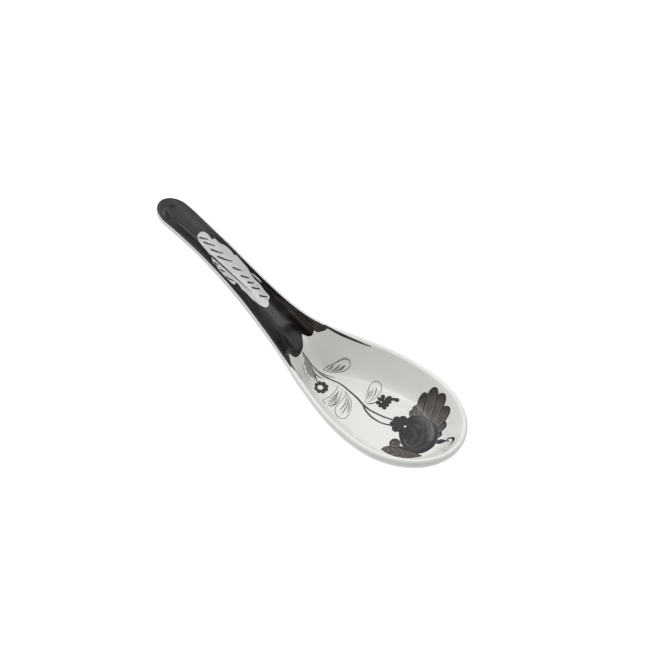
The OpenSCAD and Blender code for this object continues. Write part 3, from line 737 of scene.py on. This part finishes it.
# ---------------------------------------------------------------- small blossoms
def make_small_blossoms():
    middle = [77.4, -2.35]
    loops = [ring(middle, lobed(2.75, 8, 0.2, 0.2), 96), ring([77.1, -2.6], lobed(1.1, 5, 0.16, 0.5), 48)]
    crease = ring(middle, 1.95)
    lay_film("ring_blossom_enamel", "ring_blossom", INK, [
        patch(loops, 0.22, layer=1, tone=lambda p: 0.14 * np.exp(-(distance(p, crease) / 0.18)**2)),
        stroke([[72.8, -0.4], [73.6, -0.9], [74.9, -1.6]], even(0.45), tone=0.25)])

    centre = np.array([99.6, 5.9])
    petals = [([97.8, 9.0], 1.8), ([97.0, 6.8], 1.2), ([97.9, 4.3], 1.9), ([100.4, 3.5], 1.7),
              ([102.6, 3.9], 1.7), ([102.7, 5.9], 1.8), ([100.7, 10.2], 1.7), ([102.5, 7.9], 1.9)]
    islands = [patch([ring(centre, 1.25, 32), ring([99.2, 5.8], 0.36, 16)], 0.2, layer=3)]

    def pale_edges(t, c):
        return 0.45 * np.exp(-((np.abs(c) - 0.85) / 0.2)**2) * (t < 0.8)

    for k, (tip, size) in enumerate(petals):
        reach = np.array(tip) - centre
        bulge = [0.1, 0.4] if k > 5 else [0.0, 0.0]
        islands.append(stroke([centre + 0.25 * reach, centre + 0.62 * reach + bulge, tip],
                              round_ended(size, 0.35, 0.6, 0.6, 2), layer=1 + 0.5 * (k % 2), columns=6,
                              seed=k, tone=pale_edges))
    islands.append(stroke([[95.6, 1.8], [96.6, 2.7], [97.9, 4.6]], taper(0.45, 0.4), tone=0.25))
    islands.append(stroke([[101.0, 8.4], [102.2, 9.7], [103.5, 10.5]], taper(1.35, 0.3), layer=2,
                          tone=lambda t, c: 0.3 * np.exp(-(c / 0.4)**2) + 0 * t))
    islands.append(stroke([[102.6, 10.5], [103.6, 10.7], [103.9, 9.9], [103.1, 9.2]], taper(0.8, 0.4),
                          layer=3))
    lay_film("twig_blossom_enamel", "twig_blossom", INK, islands)


# ---------------------------------------------------------------- the bloom
HEART = np.array([119.2, 2.4])
HEART_RADIUS = 7.2               # across; it is longer towards the near side
HEART_LONG = 1.2
HEART_AXIS = np.array([0.6, -0.8])
EYE = np.array([113.1, 2.3])     # bare spot where the collar meets the heart


def petal_tone(t, c):
    """Dark along the edges and the round end, with a pale streak on each side near the foot."""
    body = np.clip((0.93 - np.abs(c)) / 0.22, 0, 1) * np.clip((0.97 - t) / 0.25, 0, 1)
    streak = np.exp(-((np.abs(c) - 0.62) / 0.13)**2) * np.exp(-((t - 0.38) / 0.2)**2)
    return np.clip(body * (0.24 + 0.06 * np.cos(11 * c) + 0.16 * (1 - t)) + 0.42 * streak, 0, 1)


def make_fan():
    """Round-ended petals that fan out behind the heart, each laid over the last."""
    tips = [[110.9, 10.3], [110.7, 12.9], [111.1, 16.3], [114.4, 18.2], [118.7, 17.6], [123.4, 14.9],
            [125.1, 11.0], [125.9, 7.6]]
    widths = [3.0, 3.4, 3.9, 4.7, 5.0, 4.6, 3.9, 3.2]
    order = [0, 1, 2, 7, 6, 5, 4, 3]
    islands = []
    for layer, i in enumerate(order):
        tip, w = np.array(tips[i]), widths[i]
        out = tip - HEART
        reach = np.linalg.norm(out)
        unit = out / reach
        bend = np.array([-unit[1], unit[0]]) * (0.5 - 0.14 * i)
        foot = HEART + unit * min(HEART_RADIUS - 1.4, reach - 3.4)
        middle = (foot + tip) / 2 + bend
        islands.append(stroke([foot, middle, tip], round_ended(w, 0.5, 0.7, 0.74, 2.4), layer=0.6 * layer,
                              tone=petal_tone, columns=18, seed=7.0 * i))
    lay_film("bloom_petals_enamel", "bloom_petals", PETAL, islands)


def heart_flow(plan):
    """Brush marks that sweep round the heart in arcs."""
    hub = HEART + [-5.5, 3.5]
    out = plan - hub
    return np.column_stack([np.arctan2(out[:, 1], out[:, 0]) * 6, np.hypot(*out.T), 0 * out[:, 0]])


HEART_MARKS = [  # soft lighter sweeps: points, width, tone
    ([[115.6, 9.2], [119.6, 8.6], [122.6, 5.6]], 1.5, 0.50),
    ([[120.8, 8.4], [123.0, 6.2], [123.9, 3.4]], 0.9, 0.62),
    ([[113.8, 7.6], [116.2, 7.6], [119.0, 6.0]], 0.5, 0.26),
    ([[116.8, 6.2], [120.2, 4.0], [121.8, 0.2], [121.2, -3.6]], 0.6, 0.17),
    ([[115.6, 5.0], [116.7, 5.3], [117.5, 4.7]], 0.45, 0.34),
    ([[115.8, 3.2], [118.4, 1.6], [119.2, -1.8]], 0.7, 0.15),
    ([[124.6, 2.8], [124.2, -0.6], [122.2, -3.9], [119.2, -5.2]], 0.5, 0.15),
    ([[116.6, -2.8], [118.4, -3.9], [120.4, -3.7]], 0.35, 0.42),
]


def heart_tone(plan):
    lift = 0 * plan[:, 0]
    for points, width, tone in HEART_MARKS:
        lift = np.maximum(lift, tone * soft_stroke(plan, points, width))
    return lift


def make_bloom():
    make_fan()
    edge = ring([0, 0], lambda a: HEART_RADIUS * (1 + 0.012 * np.sin(3 * a) + 0.008 * np.sin(7 * a + 1)),
                130)
    edge = HEART + edge + np.outer(edge @ HEART_AXIS, HEART_AXIS) * (HEART_LONG - 1)
    lay_film("bloom_heart_enamel", "bloom_heart", BLOOM,
             [patch([edge, ring(EYE, 0.62, 24)], 0.24, layer=5, flow=heart_flow, tone=heart_tone)])

    centre = np.array([111.4, 2.0])
    ruffle = ring(centre, lobed(4.1, 7, 0.22, 0.1), 112)

    def creases(p):
        out = p - centre
        crease = np.exp(-(np.sin(3.5 * (np.arctan2(out[:, 1], out[:, 0]) - 0.1 - math.pi / 7)) / 0.16)**2)
        return 0.34 * crease * np.clip(np.hypot(*out.T) - 1.2, 0, 1)

    lay_film("bloom_collar_enamel", "bloom_collar", BLOOM,
             [patch([ruffle, ring(EYE, 0.52, 24)], 0.2, layer=7, tone=creases)])


def make_lower_leaf():
    """A toothed, pointed leaf under the heart, with slanting veins, and a curled sepal over its stalk."""
    spine = curve([[112.4, -11.2], [116.5, -9.8], [121.5, -7.9], [126.4, -4.8]], step=0.25)
    share = np.linspace(0, 1, len(spine))
    step = np.gradient(spine, axis=0)
    side = np.column_stack([-step[:, 1], step[:, 0]]) / np.linalg.norm(step, axis=1)[:, None]
    tooth = 1 + 0.07 * (1 - (share * 6) % 1)
    half = 2.5 * np.sin(math.pi * share**0.85)**0.8 * tooth + 0.03
    outline = np.vstack([spine + side * half[:, None] * 1.35, (spine - side * half[:, None] * 0.7)[::-1]])

    def tone(p):
        gap = p[:, None] - spine[None, :]
        near = np.argmin(np.hypot(gap[..., 0], gap[..., 1]), axis=1)
        off = np.einsum("ij,ij->i", p - spine[near], side[near])
        slant = share[near] * 15 + 1.1 * np.abs(off) + 0.8 * np.sin(9 * share[near])
        ribs = np.exp(-(np.sin(slant * math.pi / 2) / 0.32)**2) * (np.abs(off) > 0.16)
        return np.clip((0.46 * ribs + 0.14) * np.clip((2.6 - np.abs(off)) / 0.7, 0, 1), 0, 1)

    def flow(p):
        return np.column_stack([p @ [0.3, 0.9], p @ [0.9, -0.3], 0 * p[:, 0]])

    lay_film("lower_leaf_enamel", "lower_leaf", PETAL,
             [patch([outline], 0.24, layer=1, flow=flow, tone=tone)])
    knot = np.array([114.8, -6.3])

    def swirl(p):
        out = p - knot
        turns = np.hypot(*out.T) / 0.75 - np.arctan2(out[:, 1], out[:, 0]) / math.pi
        return 0.62 * np.exp(-(np.sin(turns * math.pi / 2) / 0.5)**2) * (np.hypot(*out.T) < 1.7)

    lay_film("curled_sepal_enamel", "curled_sepal", PETAL, [
        patch([ring(knot, lambda a: 1.95 + 0.35 * np.sin(a) * (np.sin(a) > 0))], 0.2, layer=3, tone=swirl)])


def make_end_bud():
    lay_film("end_bud_enamel", "end_bud", BLOOM, [
        stroke([[125.6, 3.4], [127.6, 3.9], [130.6, 4.2]],
               lambda t: 0.35 + 1.75 * math.sin(math.pi * t**0.9)**1.3, layer=4, columns=6,
               tone=lambda t, c: 0.35 * np.exp(-((c - 0.2) / 0.3)**2) * np.sin(math.pi * t)),
        stroke([[130.2, 4.3], [130.8, 5.0], [131.8, 4.9]], taper(0.6, 0.4), layer=5),
        stroke([[131.0, 4.1], [131.5, 3.8], [131.9, 3.2]], taper(0.5, 0.4), layer=5),
        stroke([[131.4, 4.9], [133.0, 4.6], [134.1, 3.4], [134.3, 2.0], [133.7, 1.1]], taper(0.8, 0.3),
               layer=4)])


make_body()
make_handle_enamel()
make_stems()
make_leaves()
make_small_blossoms()
make_bloom()
make_lower_leaf()
make_end_bud()


# ---------------------------------------------------------------- stage, light and camera
def make_stage():
    low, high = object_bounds()
    side = 40 * (high.x - low.x)
    mesh = bpy.data.meshes.new("floor")
    corners = [(-side, -side, 0), (side, -side, 0), (side, side, 0), (-side, side, 0)]
    mesh.from_pydata(corners, [], [(0, 1, 2, 3)])
    m = Material("white_paper")
    fibre = m.noise(m.add("TexCoord").outputs["Object"], 900, detail=3)
    m.surface(Base_Color=m.ramp(fibre, (0.3, (0.54, 0.54, 0.54)), (0.7, (0.57, 0.57, 0.57))),
              Roughness=m.range(fibre, 0.3, 0.7, 0.85, 0.95),
              Emission_Color=(1, 1, 1, 1), Emission_Strength=0.80)
    mesh.materials.append(m.made)
    floor = bpy.data.objects.new("floor", mesh)
    floor.visible_diffuse = False    # it throws no light up at the spoon, so the outer sides stay shaded
    bpy.context.scene.collection.objects.link(floor)
    floor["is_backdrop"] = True


SPOON_MIDDLE = (0, 0, 0.01)      # what the lamps aim at


def softbox(name, place_at, size, watts):
    lamp = bpy.data.lights.new(name, "AREA")
    lamp.shape = "RECTANGLE"
    lamp.size, lamp.size_y = size
    lamp.energy = watts
    made = bpy.data.objects.new(name, lamp)
    made.location = place_at
    made.rotation_mode = "QUATERNION"
    made.rotation_quaternion = (Vector(SPOON_MIDDLE) - Vector(place_at)).to_track_quat("-Z", "Y")
    bpy.context.scene.collection.objects.link(made)


DOME = [(0.0, 0.46), (0.12, 0.30), (0.30, 0.30), (0.50, 0.85), (1.0, 1.0)]
                                 # height of a direction, and its brightness
CARDS = [((0.78, -0.10, 0.62), 0.80, 0.035, 0.03), ((0.22, 0.93, 0.29), 0.90, 0.04, 0.35)]
                                 # black cards: direction, cosine of their reach, softness, light left there
STUDIO_LEVEL = 1.12


def make_world():
    """A soft studio dome, bright overhead and dim towards the horizon, with two black cards in it."""
    world = bpy.data.worlds.new("studio")
    world.use_nodes = True
    nodes, links = world.node_tree.nodes, world.node_tree.links
    direction = nodes.new("ShaderNodeTexCoord").outputs["Generated"]
    split = nodes.new("ShaderNodeSeparateXYZ")
    ramp = nodes.new("ShaderNodeValToRGB")
    links.new(direction, split.inputs[0])
    links.new(split.outputs["Z"], ramp.inputs[0])
    links.new(ramp.outputs[0], nodes["Background"].inputs["Color"])
    shares = []
    for card, edge, soft, left in CARDS:
        facing = nodes.new("ShaderNodeVectorMath")
        facing.operation = "DOT_PRODUCT"
        facing.inputs[1].default_value = card
        lit = nodes.new("ShaderNodeMapRange")
        settings = {"From Min": edge, "From Max": edge + soft, "To Min": 1.0, "To Max": left}
        for key, value in settings.items():
            lit.inputs[key].default_value = value
        links.new(direction, facing.inputs[0])
        links.new(facing.outputs["Value"], lit.inputs["Value"])
        shares.append(lit.outputs[0])
    both = nodes.new("ShaderNodeMath")
    both.operation = "MULTIPLY"
    strength = nodes.new("ShaderNodeMath")
    strength.operation = "MULTIPLY"
    strength.inputs[1].default_value = STUDIO_LEVEL
    for i, share in enumerate(shares):
        links.new(share, both.inputs[i])
    links.new(both.outputs[0], strength.inputs[0])
    links.new(strength.outputs[0], nodes["Background"].inputs["Strength"])
    stops = ramp.color_ramp.elements
    while len(stops) < len(DOME):
        stops.new(0.5)
    for stop, (height, brightness) in zip(stops, DOME):
        stop.position = height
        stop.color = (brightness, brightness, brightness, 1)
    bpy.context.scene.world = world


AZIMUTH, ELEVATION = math.radians(38.44), math.radians(51.3)
DISTANCE = 0.883                 # from the middle of the spoon's box
LENS = 132.9
AIM_RIGHT, AIM_UP = 0.0066, 0.0035   # the camera aims this far right of and above that middle


def make_camera():
    low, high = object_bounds()
    back = Vector((math.sin(AZIMUTH) * math.cos(ELEVATION), -math.cos(AZIMUTH) * math.cos(ELEVATION),
                   math.sin(ELEVATION)))
    right = Vector((math.cos(AZIMUTH), math.sin(AZIMUTH), 0))
    camera = bpy.data.objects.new("camera", bpy.data.cameras.new("camera"))
    camera.data.lens = LENS
    camera.location = (low + high) / 2 + right * AIM_RIGHT + back.cross(right) * AIM_UP + back * DISTANCE
    camera.rotation_mode = "QUATERNION"
    camera.rotation_quaternion = (-back).to_track_quat("-Z", "Y")
    bpy.context.scene.collection.objects.link(camera)
    bpy.context.scene.camera = camera


make_stage()
make_world()
softbox("overhead", (0.0, 0.0, 1.5), (1.7, 1.7), 4.5)
softbox("strip", (-0.59, -0.06, 1.37), (1.3, 0.22), 2.2)
softbox("channel", (0.45, 0.86, 1.14), (1.3, 0.12), 1.1)
softbox("right", (1.5, 0.2, 0.36), (0.5, 0.5), 1.5)
softbox("back_left", (-1.25, 0.3, 0.5), (0.5, 0.5), 0.7)
softbox("side", (1.26, 0.74, 0.56), (0.7, 0.5), 1.0)
make_camera()
bpy.context.scene.view_settings.view_transform = "Standard"
